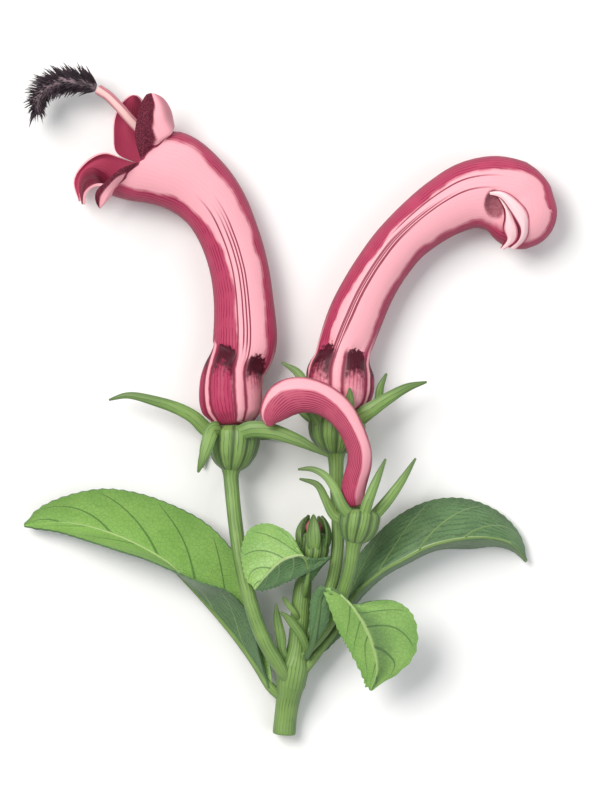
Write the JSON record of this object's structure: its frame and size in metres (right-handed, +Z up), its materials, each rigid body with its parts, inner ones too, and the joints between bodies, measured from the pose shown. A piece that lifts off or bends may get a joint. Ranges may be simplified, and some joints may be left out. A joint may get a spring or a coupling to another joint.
{
  "type": "cut centropogon flower sprig",
  "caption": "Cut leafy sprig lying flat, with long curved tubular flowers, open and still closed, a bristly anther brush and hooked young buds.",
  "frame": {"origin": "middle of the sprig's footprint on the surface it lies on", "axes": "+Y from the cut stem end towards the flowers, +X to the right seen from above, +Z up"},
  "size_m": [0.1077, 0.1347, 0.0181],
  "materials": {
    "stem": "matte",
    "stalk": "satin",
    "leaf": "satin",
    "leaf_small": "satin",
    "calyx": "satin",
    "corolla_open": "satin",
    "corolla_closed": "satin",
    "corolla_bud": "satin",
    "stamen_column": "satin",
    "anther_brush": "matte"
  },
  "bodies": {
    "root": {"stem": "stem", "stalk_open_flower": "stalk", "stalk_closed_flower": "stalk", "stalk_young_bud": "stalk", "stalk_small_bud": "stalk", "leaf_left": "leaf", "leaf_right": "leaf", "leaf_back": "leaf_small", "leaf_front": "leaf_small", "axil_leaf_outer": "leaf_small", "axil_leaf_front": "leaf_small", "axil_leaf_small": "leaf_small", "calyx_open_flower": "calyx", "calyx_closed_flower": "calyx", "calyx_young_bud": "calyx", "calyx_small_bud": "calyx", "corolla_open": "corolla_open", "corolla_closed": "corolla_closed", "corolla_young_bud": "corolla_bud", "corolla_small_bud": "corolla_bud", "stamen_column": "stamen_column", "anther_brush": "anther_brush"}
  },
  "joints": []
}
